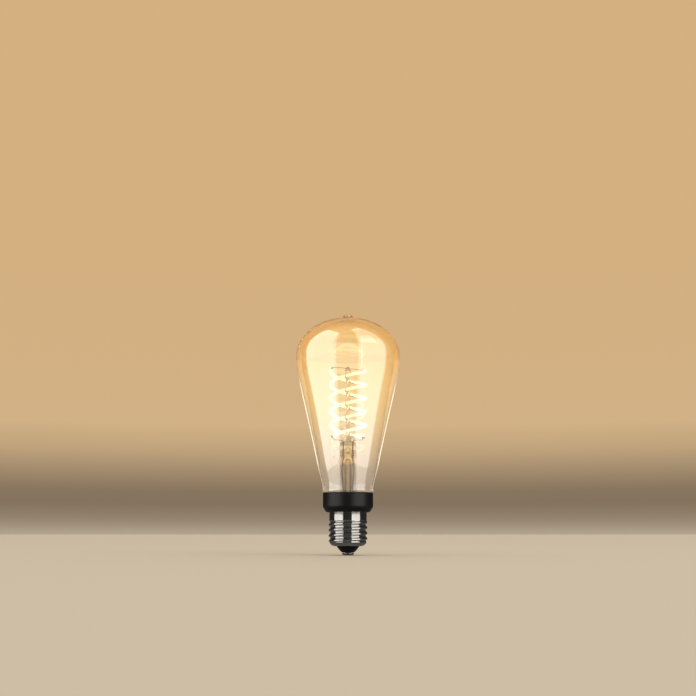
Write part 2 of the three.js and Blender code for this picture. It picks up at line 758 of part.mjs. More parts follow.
addBoard();
addCan("bulk_capacitor", -5.2, -4.1, 10.4, 3.1, 9.6);
addCan("output_capacitor", -4.2, -3.6, 20.4, 2.5, 6);
addInductor();
addFusibleResistor();
addBlock("input_capacitor", -1, 5.1, 21.5, 5.6, 3.6, 4.6, filmYellow);
addBlock("rectifier_bridge", 1, -4.2, 13.2, 4.8, 1.6, 3.8, blackPlastic);
addBlock("driver_chip", 1, 3.4, 13.2, 4.9, 1.4, 3.9, blackPlastic);
addBlock("radio_module", 1, 0, 24.1, 12, RADIO_BOARD, 14, circuitBoard);
addBlock("radio_shield", 1, 0, 22, 10, 2.2, 8.4, nickel, RADIO_BOARD + GAP);
addAntenna();
for (const [side, name] of [[-1, "left"], [1, "right"]]) {
  addBlock(`lead_terminal_${name}`, -1, side * 3.6, 28.9, 2, 1.6, 2.8, nickel);
}

// Mains wires: from the contact's shank to the fuse resistor, and from the board to the shell.
const centreWire = [
  [0, -0.6, 9],
  [0, -1.8, 9.3],
  [0, -3.2, 9.8],
  [0, -3.4, 10.6],
];
add("centre_wire", wireThrough(centreWire, LEAD_RADIUS, 8), copper);
const sideWire = [
  [-6.6, -1.2, 22.6],
  [-7.2, -2.6, 22.9],
  [-7.4, -5, 23],
  [-7.6, -7.6, 22.4],
];
add("side_wire", wireThrough(sideWire, 0.3, 8), copper);

export default bulb;
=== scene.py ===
"""Smart filament light bulb: the visible pieces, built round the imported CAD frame.

Metres, +Z up to the tip of the glass, the front of the bulb faces -Y. Outlines are written in
millimetres as (radius, height) points and scaled once, when a mesh is made.
"""
import json
import math

import bmesh
import bpy
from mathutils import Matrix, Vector

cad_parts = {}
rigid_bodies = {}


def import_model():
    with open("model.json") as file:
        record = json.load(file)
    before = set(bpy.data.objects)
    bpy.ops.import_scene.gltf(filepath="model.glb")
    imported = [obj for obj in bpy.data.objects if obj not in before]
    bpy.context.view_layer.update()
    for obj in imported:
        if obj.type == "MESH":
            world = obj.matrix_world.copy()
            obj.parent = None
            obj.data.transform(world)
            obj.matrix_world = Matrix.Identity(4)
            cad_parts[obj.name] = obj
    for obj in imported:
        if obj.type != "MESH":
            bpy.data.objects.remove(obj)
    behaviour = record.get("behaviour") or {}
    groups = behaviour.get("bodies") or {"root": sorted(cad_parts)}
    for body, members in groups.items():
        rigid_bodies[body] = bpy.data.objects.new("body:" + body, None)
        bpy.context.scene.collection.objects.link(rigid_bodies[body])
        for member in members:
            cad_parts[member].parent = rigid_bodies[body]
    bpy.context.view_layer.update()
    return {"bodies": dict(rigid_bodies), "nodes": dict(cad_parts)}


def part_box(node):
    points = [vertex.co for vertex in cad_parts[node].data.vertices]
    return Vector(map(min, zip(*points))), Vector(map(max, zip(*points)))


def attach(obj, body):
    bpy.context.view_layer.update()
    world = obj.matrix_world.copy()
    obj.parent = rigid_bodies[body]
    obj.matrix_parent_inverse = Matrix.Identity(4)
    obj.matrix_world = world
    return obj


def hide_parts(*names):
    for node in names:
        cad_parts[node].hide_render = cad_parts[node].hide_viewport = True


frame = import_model()

MM = 0.001
BODY = next(iter(frame["bodies"]))
GAP = 0.3  # clearance that the CAD keeps between touching pieces


def node_top(name):
    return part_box(name)[1].z / MM


def node_bottom(name):
    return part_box(name)[0].z / MM


def node_radius(name):
    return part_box(name)[1].x / MM


# ---------------------------------------------------------------- sizes, in millimetres
GLASS_TOP = node_top("glass_envelope")
GLASS_RADIUS = node_radius("glass_envelope")
NECK_BOTTOM = node_bottom("glass_envelope")
CROWN_HEIGHT = 26.6  # the crown is half an ellipse
NUB_RISE = 2.4
NUB_FOOT = 6.2  # radius where the nub meets the crown
BEAD_DROP = 0.7  # extra thickness of the glass under the nub
BEAD_RADIUS = 6.0
GLASS_WIDE_Z = GLASS_TOP - NUB_RISE - CROWN_HEIGHT
CHEEK_ARC = 80.0  # radius of the arc below the widest place
TAPER_ARC = 1983.0  # radius of the hardly hollow taper below that arc
CHEEK_END = math.radians(13.7)  # slope from vertical where cheek and taper meet
TAPER_END = math.radians(11.98)
NECK_RADIUS = 17.2  # visible neck, flush with the collar
NECK_TOP = 44.5
NECK_HANDLE = 4.0  # length of the curve handles between neck and taper
NECK_INSERT = 15.5  # part of the neck that sits inside the collar
GLASS_WALL = 0.9

STEM_RADIUS = 5.8
STEM_WALL = 0.9
FLARE_START = 42.5  # height where the tube starts to widen downwards
FLARE_CENTRE = 14.3  # radius of the centre of the flare's arc
FLARE_DROP = 7.3
PRESS_TOP = node_top("stem_flare")
PRESS_DEPTH = 2.4  # half thickness of the flattened press
LEAD_X = 3.2  # lead wires in the press, either side of the axis
EXHAUST_RADIUS = 2.4
EXHAUST_BORE = 1.85
ARBOR_RADIUS = 1.2
ARBOR_TOP = node_top("arbor_rod")
BUTTON_RADIUS = 2.0
BUTTON_Z = 125.9
ROD_TOP = 121.6  # height where the rod starts to widen into the button

HELIX_RADIUS = 12.2
HELIX_LEAD = 19.0  # rise of one strand in one turn
HELIX_MID_Z = 126.0  # height of strand a where it passes 180 degrees
STRAND_RADIUS = 1.0
STRAND_TOP_ANGLE = 200.0
STRAND_BOTTOM_ANGLE = -685.0
CLIP_SWEEP = 10.0  # degrees of the helix that an end clip covers
CLIP_RADIUS = 0.62
FRONT_HOOK = 262.0  # degrees round the helix
BACK_HOOK = 70.0
HOOK_WIRE = 0.2  # wire radii
LINK_WIRE = 0.28
INNER_LEAD = 0.3
OUTER_LEAD = 0.33
LINK_Z = 128.0  # height where the cross wire passes through the button

COLLAR_TOP = node_top("collar")
COLLAR_RADIUS = node_radius("collar")
COLLAR_BOTTOM = 28.6
COLLAR_SIDE = 32.6  # height where the upright side starts, above the rounded edge
COLLAR_FOOT = 13.8  # radius of the lower edge
RIM_RADIUS = 13.0
RIM_RECESS = 0.4  # step in the lower face that takes the cap shell's rim
COLLAR_BORE = 16.0
COLLAR_LEDGE = 32.5  # ledge that carries the neck cement
LEDGE_BORE = 12.4
LEDGE_BOTTOM = 30.4
SPIGOT_RADIUS = 12.0  # the collar's skirt inside the cap shell
SPIGOT_BORE = 10.9
SPIGOT_TOP = 29.4
CEMENT_RADIUS = 15.9
CEMENT_LIP = 15.62  # inner radius of the rim that stands up round the neck

THREAD_PITCH = 3.629  # E27
THREAD_CREST = node_radius("cap_shell")
THREAD_ROOT = 12.0
THREAD_PHASE_Z = 18.4  # height of a crest at angle 0
SHELL_BOTTOM = node_bottom("cap_shell")
SHELL_TOP = node_top("cap_shell")
SHELL_MOUTH = 8.35  # radius of the shell's lower opening
SHOULDER_TOP = 9.3
BAND_BOTTOM = 23.3  # smooth band above the thread
BAND_RADIUS = 12.7
SHELL_WALL = 0.35
INSULATOR_RADIUS = 7.6
INSULATOR_BORE = 2.5
INSULATOR_TOP = 8.2
CONTACT_RADIUS = node_radius("centre_contact")
CONTACT_HEIGHT = 1.5
SHANK_RADIUS = 2.2  # rivet shank of the contact
SHANK_TOP = 8.6


# ---------------------------------------------------------------- materials
def tree_parts(material):
    """The node tree of a material, and its Principled shader."""
    tree = material.node_tree
    return tree, tree.nodes["Principled BSDF"]


def new_material(name, **sockets):
    """A Principled material with constant socket values, such as coat_weight=1.0."""
    material = bpy.data.materials.new(name)
    material.use_nodes = True
    _, shader = tree_parts(material)
    for socket, value in sockets.items():
        label = socket.replace("_", " ").title().replace("Ior", "IOR")
        shader.inputs[label].default_value = value
    return material


def object_coordinates(tree):
    return tree.nodes.new("ShaderNodeTexCoord").outputs["Object"]


def noise(tree, scale, detail=3.0, stretch=(1, 1, 1)):
    """Noise on object coordinates; scale is in features per metre."""
    mapping = tree.nodes.new("ShaderNodeMapping")
    mapping.inputs["Scale"].default_value = stretch
    tree.links.new(object_coordinates(tree), mapping.inputs["Vector"])
    texture = tree.nodes.new("ShaderNodeTexNoise")
    texture.inputs["Scale"].default_value = scale
    texture.inputs["Detail"].default_value = detail
    tree.links.new(mapping.outputs["Vector"], texture.inputs["Vector"])
    return texture.outputs["Fac"]


def ramp(tree, factor, stops, to_socket):
    """Colour ramp from (position, colour) stops into a shader socket."""
    node = tree.nodes.new("ShaderNodeValToRGB")
    elements = node.color_ramp.elements
    for index, (position, colour) in enumerate(stops):
        element = elements[index] if index < 2 else elements.new(position)
        element.position = position
        element.color = (*colour, 1.0)
    tree.links.new(factor, node.inputs["Fac"])
    tree.links.new(node.outputs["Color"], to_socket)


def roughness_noise(material, low, high, scale, stretch=(1, 1, 1)):
    """Roughness that wanders between low and high."""
    tree, shader = tree_parts(material)
    spread = tree.nodes.new("ShaderNodeMapRange")
    spread.inputs["From Min"].default_value = 0.3
    spread.inputs["From Max"].default_value = 0.7
    spread.inputs["To Min"].default_value = low
    spread.inputs["To Max"].default_value = high
    tree.links.new(noise(tree, scale, stretch=stretch), spread.inputs["Value"])
    tree.links.new(spread.outputs["Result"], shader.inputs["Roughness"])


def bump_noise(material, scale, distance, strength, stretch=(1, 1, 1), detail=3.0):
    """Bump of the given depth in metres."""
    tree, shader = tree_parts(material)
    bump = tree.nodes.new("ShaderNodeBump")
    bump.inputs["Strength"].default_value = strength
    bump.inputs["Distance"].default_value = distance
    tree.links.new(noise(tree, scale, detail, stretch), bump.inputs["Height"])
    tree.links.new(bump.outputs["Normal"], shader.inputs["Normal"])


def colour_noise(material, dark, light, scale, stretch=(1, 1, 1)):
    """Base colour that wanders between dark and light."""
    tree, shader = tree_parts(material)
    stops = [(0.3, dark), (0.7, light)]
    ramp(tree, noise(tree, scale, stretch=stretch), stops, shader.inputs["Base Color"])


def height_factor(tree, low, high):
    """0 at height low and 1 at height high, both in millimetres."""
    split = tree.nodes.new("ShaderNodeSeparateXYZ")
    tree.links.new(object_coordinates(tree), split.inputs["Vector"])
    spread = tree.nodes.new("ShaderNodeMapRange")
    spread.inputs["From Min"].default_value = low * MM
    spread.inputs["From Max"].default_value = high * MM
    tree.links.new(split.outputs["Z"], spread.inputs["Value"])
    return spread.outputs["Result"]


def tint_glass(material, height, face, rim, blend):
    """Glass colour by height, deeper where the wall is seen on edge."""
    tree, shader = tree_parts(material)
    grazing = tree.nodes.new("ShaderNodeLayerWeight")
    grazing.inputs["Blend"].default_value = blend
    mix = tree.nodes.new("ShaderNodeMixRGB")
    tree.links.new(grazing.outputs["Facing"], mix.inputs["Fac"])
    ramp(tree, height, face, mix.inputs["Color1"])
    ramp(tree, height, rim, mix.inputs["Color2"])
    tree.links.new(mix.outputs["Color"], shader.inputs["Base Color"])


def amber_glass():
    """Blown glass, stained amber towards the crown and almost clear at the neck."""
    material = new_material(
        "amber_glass",
        roughness=0.0,
        ior=1.5,
        transmission_weight=1.0,
        coat_weight=1.0,
        coat_ior=1.7,
    )
    face = [
        (0.0, (0.90, 0.87, 0.85)),
        (0.2, (0.95, 0.91, 0.86)),
        (0.55, (0.98, 0.90, 0.74)),
        (1.0, (1.0, 0.86, 0.60)),
    ]
    rim = [
        (0.0, (0.84, 0.78, 0.72)),
        (0.3, (0.97, 0.77, 0.49)),
        (0.6, (1.0, 0.69, 0.25)),
        (1.0, (1.0, 0.60, 0.16)),
    ]
    tint_glass(material, height_factor(material.node_tree, 42, 150), face, rim, 0.42)
    bump_noise(material, 45, 0.0002, 0.35, detail=1.0)
    return material


def clear_glass():
    """Glass of the stem, with warm light from the lit filaments painted into its colour near its
    top.
    """
    material = new_material("clear_glass", roughness=0.0, ior=1.5, transmission_weight=1.0)
    # the upper stops of both ramps are painted warm light from the lit filaments above the stem
    face = [
        (0.0, (0.97, 0.965, 0.95)),
        (0.55, (0.98, 0.96, 0.92)),
        (0.75, (0.99, 0.90, 0.70)),
        (1.0, (0.99, 0.93, 0.80)),
    ]
    rim = [(0.0, (0.16, 0.12, 0.09)), (1.0, (0.30, 0.20, 0.10))]
    tint_glass(material, height_factor(material.node_tree, 35, 77), face, rim, 0.55)
    bump_noise(material, 160, 0.0001, 0.3, detail=1.0)
    return material


def filament_material():
    """Phosphor under silicone, lit from inside."""
    material = new_material("filament", roughness=0.45, ior=1.41, emission_strength=1.2)
    tree, shader = tree_parts(material)
    colour_noise(material, (0.95, 0.72, 0.32), (1.0, 0.80, 0.42), 900)
    stops = [(0.3, (1.0, 0.90, 0.74)), (0.7, (1.0, 0.96, 0.86))]
    ramp(tree, noise(tree, 700), stops, shader.inputs["Emission Color"])
    return material


def metal(name, dark, light, low, high, scale, stretch=(1, 1, 1), bump=0.0):
    """Metal with a colour from dark to light, a roughness from low to high and a bump in metres."""
    material = new_material(name, metallic=1.0)
    colour_noise(material, dark, light, scale, stretch)
    roughness_noise(material, low, high, scale * 1.7, stretch)
    if bump:
        bump_noise(material, scale * 2.3, bump, 0.5, stretch)
    return material


def plastic(name, dark, light, low, high, scale, bump, specular=0.5):
    """The same for what is not metal."""
    material = new_material(name, specular_ior_level=specular)
    colour_noise(material, dark, light, scale)
    roughness_noise(material, low, high, scale * 1.3)
    bump_noise(material, scale * 2.1, bump, 0.6)
    return material


AMBER = amber_glass()
CLEAR = clear_glass()
FILAMENT = filament_material()
WIRE = metal("support_wire", (0.10, 0.085, 0.07), (0.20, 0.175, 0.15), 0.25, 0.45, 1200)
PLATED_WIRE = metal("plated_wire", (0.40, 0.35, 0.28), (0.62, 0.56, 0.46), 0.25, 0.45, 1200)
COPPER = metal("copper_wire", (0.16, 0.085, 0.05), (0.30, 0.16, 0.09), 0.25, 0.45, 1200)
COLLAR = plastic(
    "black_plastic", (0.004, 0.004, 0.0045), (0.005, 0.005, 0.0055),
    0.36, 0.44, 1800, 0.00002, specular=0.3,
)
NICKEL = metal(
    "nickel", (0.40, 0.39, 0.375), (0.50, 0.49, 0.47),
    0.06, 0.11, 260, stretch=(1, 1, 0.3), bump=0.000004,
)
INSULATOR = plastic(
    "black_insulator", (0.004, 0.004, 0.004), (0.008, 0.0075, 0.0075),
    0.06, 0.14, 300, 0.00001, specular=0.2,
)
CONTACT = metal(
    "contact_metal", (0.13, 0.125, 0.12), (0.24, 0.23, 0.215),
    0.25, 0.45, 900, bump=0.00001,
)
SILICONE = plastic(
    "silicone", (0.66, 0.65, 0.61), (0.76, 0.75, 0.71),
    0.55, 0.75, 600, 0.00004,
)
CHIP = plastic(
    "chip_plastic", (0.012, 0.012, 0.012), (0.022, 0.022, 0.022),
    0.45, 0.6, 2500, 0.00001,
)
CAN = metal(
    "aluminium_can", (0.58, 0.59, 0.60), (0.72, 0.73, 0.74),
    0.25, 0.38, 500, stretch=(1, 1, 0.15),
)
SHIELD = metal("shield_metal", (0.55, 0.55, 0.53), (0.70, 0.70, 0.68), 0.25, 0.4, 700)
FERRITE = plastic(
    "ferrite", (0.02, 0.019, 0.018), (0.045, 0.042, 0.04),
    0.6, 0.85, 1500, 0.00004,
)
RESISTOR = plastic(
    "resistor_ceramic", (0.12, 0.24, 0.33), (0.17, 0.31, 0.41),
    0.5, 0.65, 1200, 0.00002,
)
FILM = plastic(
    "film_casing", (0.52, 0.32, 0.02), (0.62, 0.40, 0.04),
    0.25, 0.35, 800, 0.00001,
)
BOARD = plastic(
    "circuit_board", (0.008, 0.075, 0.025), (0.014, 0.12, 0.04),
    0.35, 0.5, 900, 0.00001,
)


# ---------------------------------------------------------------- mesh helpers
def finish_mesh(name, mesh_data, material, replaces, sharp_angle=40):
    """Object from a bmesh, with outward faces and sharp edges kept, that rides on the bulb."""
    bmesh.ops.recalc_face_normals(mesh_data, faces=mesh_data.faces)
    for face in mesh_data.faces:
        face.smooth = True
    limit = math.radians(sharp_angle)
    for edge in mesh_data.edges:
        edge.smooth = len(edge.link_faces) == 2 and edge.calc_face_angle(0.0) < limit
    mesh = bpy.data.meshes.new(name)
    mesh_data.to_mesh(mesh)
    mesh_data.free()
    piece = bpy.data.objects.new(name, mesh)
    bpy.context.scene.collection.objects.link(piece)
    piece.data.materials.append(material)
    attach(piece, BODY)
    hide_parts(*replaces)
    return piece


def ring_mesh(rings, first_pole=None, last_pole=None, closed=False):
    """bmesh skin over rings of points in millimetres, with poles or joined end to start."""
    mesh = bmesh.new()
    rows = [[mesh.verts.new(Vector(point) * MM) for point in ring] for ring in rings]
    sides = len(rows[0])
    pairs = list(zip(rows, rows[1:]))
    if closed:
        pairs.append((rows[-1], rows[0]))
    for low, high in pairs:
        for i in range(sides):
            j = (i + 1) % sides
            mesh.faces.new((low[i], low[j], high[j], high[i]))
    for pole, row in ((first_pole, rows[0]), (last_pole, rows[-1])):
        if pole is not None:
            tip = mesh.verts.new(Vector(pole) * MM)
            for i in range(sides):
                mesh.faces.new((row[i], row[(i + 1) % sides], tip))
    return mesh


def circle_ring(radius, z, sides):
    """Points of a level circle round the bulb's axis."""
    steps = [2 * math.pi * i / sides for i in range(sides)]
    return [(radius * math.cos(a), radius * math.sin(a), z) for a in steps]


def turned_mesh(outline, sides, closed=False):
    """Solid of revolution from (radius, height) points; an end on the axis becomes a pole."""
    on_axis = 1e-6
    rings = [circle_ring(r, z, sides) for r, z in outline if r > on_axis]
    poles = [(0, 0, z) if r <= on_axis else None for r, z in (outline[0], outline[-1])]
    return ring_mesh(rings, *poles, closed)


def arc(centre_r, centre_z, radius_r, radius_z, start, end, steps):
    """Points of an elliptic arc in the (radius, height) plane; angles in degrees."""
    points = []
    for i in range(steps + 1):
        angle = math.radians(start + (end - start) * i / steps)
        r = centre_r + radius_r * math.cos(angle)
        points.append((r, centre_z + radius_z * math.sin(angle)))
    return points


def rounded(outline, radius, steps):
    """The closed outline with its corners rounded off."""
    longest_cut = 0.45  # of a side, so that two corners never meet
    result = []
    count = len(outline)
    for i, corner in enumerate(outline):
        here = Vector(corner)
        before = Vector(outline[i - 1]) - here
        after = Vector(outline[(i + 1) % count]) - here
        cut = min(radius, before.length * longest_cut, after.length * longest_cut)
        start = here + before.normalized() * cut
        end = here + after.normalized() * cut
        for k in range(steps + 1):
            t = k / steps
            result.append(tuple(start * (1 - t) ** 2 + here * 2 * t * (1 - t) + end * t * t))
    return result


def smooth_path(points, steps):
    """Centripetal Catmull-Rom curve through the points, with equal steps along its length."""
    samples = 24  # between two points, before the curve is divided into equal steps
    places = [Vector(p) for p in points]
    places = [places[0] * 2 - places[1], *places, places[-1] * 2 - places[-2]]
    dense = []
    for a, b, c, d in zip(places, places[1:], places[2:], places[3:]):
        t1 = (b - a).length ** 0.5
        t2 = t1 + (c - b).length ** 0.5
        t3 = t2 + (d - c).length ** 0.5
        for k in range(samples):
            t = t1 + (t2 - t1) * k / samples
            a1 = a * ((t1 - t) / t1) + b * (t / t1)
            a2 = b * ((t2 - t) / (t2 - t1)) + c * ((t - t1) / (t2 - t1))
            a3 = c * ((t3 - t) / (t3 - t2)) + d * ((t - t2) / (t3 - t2))
            b1 = a1 * ((t2 - t) / t2) + a2 * (t / t2)
            b2 = a2 * ((t3 - t) / (t3 - t1)) + a3 * ((t - t1) / (t3 - t1))
            dense.append(b1 * ((t2 - t) / (t2 - t1)) + b2 * ((t - t1) / (t2 - t1)))
    dense.append(places[-2])
    lengths = [0.0]
    for a, b in zip(dense, dense[1:]):
        lengths.append(lengths[-1] + (b - a).length)
    result = []
    index = 0
    for k in range(steps + 1):
        target = lengths[-1] * k / steps
        while index < len(dense) - 2 and lengths[index + 1] < target:
            index += 1
        span = lengths[index + 1] - lengths[index]
        result.append(dense[index].lerp(dense[index + 1], (target - lengths[index]) / span))
    return result


def wire_end(ring, side, angles):
    """Smaller rings that round off a wire's end; side is -1 at its start and 1 at its end."""
    place, tangent, across, radius = ring
    reach = tangent * side * radius
    return [(place + reach * math.sin(a), tangent, across, radius * math.cos(a)) for a in angles]


def wire_mesh(points, radius, sides):
    """Round wire along dense points, with rounded ends and no twist."""
    places = [Vector(p) for p in points]
    tangents = []
    for i in range(len(places)):
        ahead = places[min(i + 1, len(places) - 1)]
        behind = places[max(i - 1, 0)]
        tangents.append((ahead - behind).normalized())
    across = tangents[0].orthogonal().normalized()
    rings = []
    for place, tangent in zip(places, tangents):
        across = (across - tangent * across.dot(tangent)).normalized()
        rings.append((place, tangent, across, radius))
    first, last = rings[0], rings[-1]
    steps = [math.radians(a) for a in (30, 60)]
    rings = wire_end(first, -1, steps[::-1]) + rings + wire_end(last, 1, steps)
    angles = [2 * math.pi * k / sides for k in range(sides)]
    turns = [(math.cos(a), math.sin(a)) for a in angles]
    loops = []
    for place, tangent, right, size in rings:
        up = tangent.cross(right)
        loops.append([place + right * (size * x) + up * (size * y) for x, y in turns])
    return ring_mesh(loops, first[0] - first[1] * radius, last[0] + last[1] * radius)


# ---------------------------------------------------------------- glass envelope
def glass_outline():
    """Outer line of the glass from the top of the neck to the crown."""
    cheek_centre = GLASS_RADIUS - CHEEK_ARC
    cheek_z = GLASS_WIDE_Z - CHEEK_ARC * math.sin(CHEEK_END)
    cheek_r = cheek_centre + CHEEK_ARC * math.cos(CHEEK_END)
    taper_r = cheek_r + TAPER_ARC * math.cos(CHEEK_END)
    taper_z = cheek_z - TAPER_ARC * math.sin(CHEEK_END)
    low, high = 180 - math.degrees(TAPER_END), 180 - math.degrees(CHEEK_END)
    taper = arc(taper_r, taper_z, TAPER_ARC, TAPER_ARC, low, high, 28)
    foot_r, foot_z = taper[0]
    start = Vector((NECK_RADIUS, NECK_TOP))
    end = Vector((foot_r, foot_z))
    handle_a = start + Vector((0, NECK_HANDLE))
    handle_b = end - Vector((math.tan(TAPER_END), 1)) * NECK_HANDLE
    shoulder = []
    steps = 14
    for k in range(steps):
        t = k / steps
        point = start * (1 - t) ** 3 + handle_a * 3 * t * (1 - t) ** 2
        point += handle_b * 3 * t * t * (1 - t) + end * t ** 3
        shoulder.append(tuple(point))
    low = -math.degrees(CHEEK_END)
    cheek = arc(cheek_centre, GLASS_WIDE_Z, CHEEK_ARC, CHEEK_ARC, low, 0, 14)
    crown = arc(0, GLASS_WIDE_Z, GLASS_RADIUS, CROWN_HEIGHT, 0, 88, 48)
    return shoulder + taper + cheek[1:] + crown[1:]


def with_nub(outline):
    """Closes the crown with the small flat-topped nub where the glass was sealed."""
    crown = [(r, z) for r, z in outline if z < GLASS_WIDE_Z or r > NUB_FOOT]
    foot_r, foot_z = crown[-1]
    neck = smooth_path(
        [
            (foot_r, 0, foot_z),
            (4.9, 0, foot_z + 0.55),
            (3.95, 0, foot_z + 1.35),
            (3.45, 0, GLASS_TOP - 0.55),
            (2.9, 0, GLASS_TOP - 0.12),
            (2.0, 0, GLASS_TOP),
        ],
        16,
    )
    return crown + [(point.x, point.z) for point in neck[1:]]


def with_bead(inner_line):
    """Lowers the middle of the inner wall: the glass is thick where the tip was sealed."""
    lowered = []
    for r, z in inner_line:
        drop = 0.0
        if z > GLASS_WIDE_Z:
            drop = 0.5 + 0.5 * math.cos(math.pi * min(r / BEAD_RADIUS, 1.0))
        lowered.append((r, z - BEAD_DROP * drop))
    return lowered


def moved_in(outline, depth):
    """The outline moved square to itself, towards the inside of the glass."""
    inner = []
    for i, (r, z) in enumerate(outline):
        r0, z0 = outline[max(i - 1, 0)]
        r1, z1 = outline[min(i + 1, len(outline) - 1)]
        length = math.hypot(r1 - r0, z1 - z0)
        inner.append((r - depth * (z1 - z0) / length, z + depth * (r1 - r0) / length))
    return inner


def build_glass():
    """Envelope whose neck steps in where it enters the collar."""
    line = glass_outline()
    step_z = COLLAR_TOP + GAP
    bore = NECK_INSERT - GLASS_WALL
    neck_bore = NECK_RADIUS - GLASS_WALL
    outside = [
        (NECK_INSERT - 0.35, NECK_BOTTOM),
        (NECK_INSERT, NECK_BOTTOM + 0.4),
        (NECK_INSERT, step_z - 0.9),
        (NECK_INSERT + 0.15, step_z - 0.25),
        (NECK_INSERT + 0.6, step_z),
        (NECK_RADIUS - 0.4, step_z + 0.05),
        (NECK_RADIUS - 0.1, step_z + 0.25),
        (NECK_RADIUS, step_z + 0.6),
        *with_nub(line),
        (0.0, GLASS_TOP),
    ]
    inner_line = moved_in(line, GLASS_WALL)
    inside = [
        (bore + 0.35, NECK_BOTTOM),
        (bore, NECK_BOTTOM + 0.4),
        (bore, step_z - 0.3),
        *arc(bore + 0.5, step_z - 0.3, 0.5, 0.6, 180, 100, 8),
        (neck_bore - 0.3, step_z + 0.4),
        (neck_bore - 0.05, step_z + 0.6),
        (neck_bore, step_z + 0.9),
        *with_bead(inner_line),
        (0.0, inner_line[-1][1] - BEAD_DROP),
    ]
    mesh = turned_mesh(inside[::-1] + outside, 192)
    return finish_mesh("amber_envelope", mesh, AMBER, ["glass_envelope"], 60)


# ---------------------------------------------------------------- stem, exhaust tube and arbor
def press_ring(a, b, z, power, sides=72):
    """Ring of half width a and half depth b; power 2 is an ellipse, more is boxier."""
    points = []
    for i in range(sides):
        angle = 2 * math.pi * i / sides
        c, s = math.cos(angle), math.sin(angle)
        x = a * math.copysign(abs(c) ** (2 / power), c)
        y = b * math.copysign(abs(s) ** (2 / power), s)
        points.append((x, y, z))
    return points


def blended_rings(stations, steps):
    """Rings between stations (a, b, z, power), eased from one to the next."""
    rings = []
    padded = [stations[0], *stations, stations[-1]]
    for before, start, end, after in zip(padded, padded[1:], padded[2:], padded[3:]):
        for k in range(steps):
            t = k / steps
            values = []
            for p0, p1, p2, p3 in zip(before, start, end, after):
                slope_a = (p2 - p0) / 2
                slope_b = (p3 - p1) / 2
                value = p1 * (2 * t**3 - 3 * t**2 + 1) + slope_a * (t**3 - 2 * t**2 + t)
                values.append(value + p2 * (3 * t**2 - 2 * t**3) + slope_b * (t**3 - t**2))
            rings.append(press_ring(*values))
    rings.append(press_ring(*stations[-1]))
    return rings


def build_stem():
    """Flare tube whose upper end is pinched flat round the lead-in wires."""
    reach = FLARE_CENTRE - STEM_RADIUS
    bore = STEM_RADIUS - STEM_WALL
    tube = (48, 54)  # heights of the rings on its straight part
    inside = blended_rings(
        [
            (0.5, 0.35, 72.95, 2),
            (1.5, 1.0, 72.2, 2),
            (2.0, 1.4, 70.6, 2),
            (2.3, 1.7, 68.4, 2),
            (2.9, 2.4, 66.6, 2),
            (4.4, 3.0, 65.3, 2),
            (4.8, 3.8, 63.8, 2),
            (bore, 4.6, 61.8, 2),
            (bore, bore, 59.5, 2),
        ],
        4,
    )
    centre = (FLARE_CENTRE, FLARE_START)
    flare_in = arc(*centre, reach + STEM_WALL, FLARE_DROP + STEM_WALL, 180, 266, 16)
    flare_out = arc(*centre, reach, FLARE_DROP, 266, 180, 16)
    inside += [press_ring(bore, bore, z, 2) for z in tube[::-1]]
    inside += [press_ring(r, r, z, 2) for r, z in flare_in]
    outside = [press_ring(r, r, z, 2) for r, z in flare_out]
    outside += [press_ring(STEM_RADIUS, STEM_RADIUS, z, 2) for z in tube]
    outside += blended_rings(
        [
            (STEM_RADIUS, STEM_RADIUS, 59.5, 2),
            (STEM_RADIUS, 5.3, 62.2, 2),
            (STEM_RADIUS, 4.3, 64.6, 2.1),
            (STEM_RADIUS, 3.4, 66.8, 2.3),
            (STEM_RADIUS, 2.7, 68.8, 2.8),
            (STEM_RADIUS, PRESS_DEPTH, 71, 3.3),
            (STEM_RADIUS, PRESS_DEPTH, 74, 3.5),
            (5.6, PRESS_DEPTH - 0.1, 75.1, 3.3),
            (5.1, PRESS_DEPTH - 0.3, 76.1, 3),
            (4.3, PRESS_DEPTH - 0.7, 76.7, 2.7),
            (3.3, PRESS_DEPTH - 1.2, PRESS_TOP, 2.4),
        ],
        4,
    )
    mesh = ring_mesh(inside + outside, (0, 0, 73.05), (0, 0, PRESS_TOP))
    return finish_mesh("stem_glass", mesh, CLEAR, ["stem_flare"], 60)


def build_exhaust_tube():
    """Pumping tube, domed at the press and drawn out to a sealed tip."""
    top = node_top("exhaust_tube")
    tip = node_bottom("exhaust_tube")
    outside = [(0, tip), *arc(0, tip + 3.4, EXHAUST_RADIUS, 3.4, -80, 0, 10)]
    outside += arc(0.9, top - 5.0, EXHAUST_RADIUS - 0.9, 5.0, 0, 86, 12)
    inside = arc(0.5, top - 5.2, EXHAUST_BORE - 0.5, 4.7, 84, 0, 12)
    inside += [*arc(0, tip + 4.6, EXHAUST_BORE, 2.2, 0, -80, 8), (0, tip + 2.4)]
    mesh = turned_mesh(outside + inside, 64)
    return finish_mesh("exhaust_glass", mesh, CLEAR, ["exhaust_tube"], 60)


def build_arbor():
    """Glass rod, spread a little where it meets the press, with a melted button at the top."""
    foot = PRESS_TOP + GAP
    outline = [
        (0, foot),
        (ARBOR_RADIUS * 1.4, foot),
        (ARBOR_RADIUS * 1.5, foot + 0.2),
        *arc(ARBOR_RADIUS * 1.5, foot + 1.6, ARBOR_RADIUS * 0.5, 1.2, 270, 180, 6),
        (ARBOR_RADIUS, ROD_TOP),
        (ARBOR_RADIUS * 1.12, ROD_TOP + 1),
        *arc(0, BUTTON_Z, BUTTON_RADIUS, ARBOR_TOP - BUTTON_Z, -55, 85, 18),
        (0, ARBOR_TOP),
    ]
    mesh = turned_mesh(outline, 48)
    return finish_mesh("arbor_glass", mesh, CLEAR, ["arbor_rod"], 60)


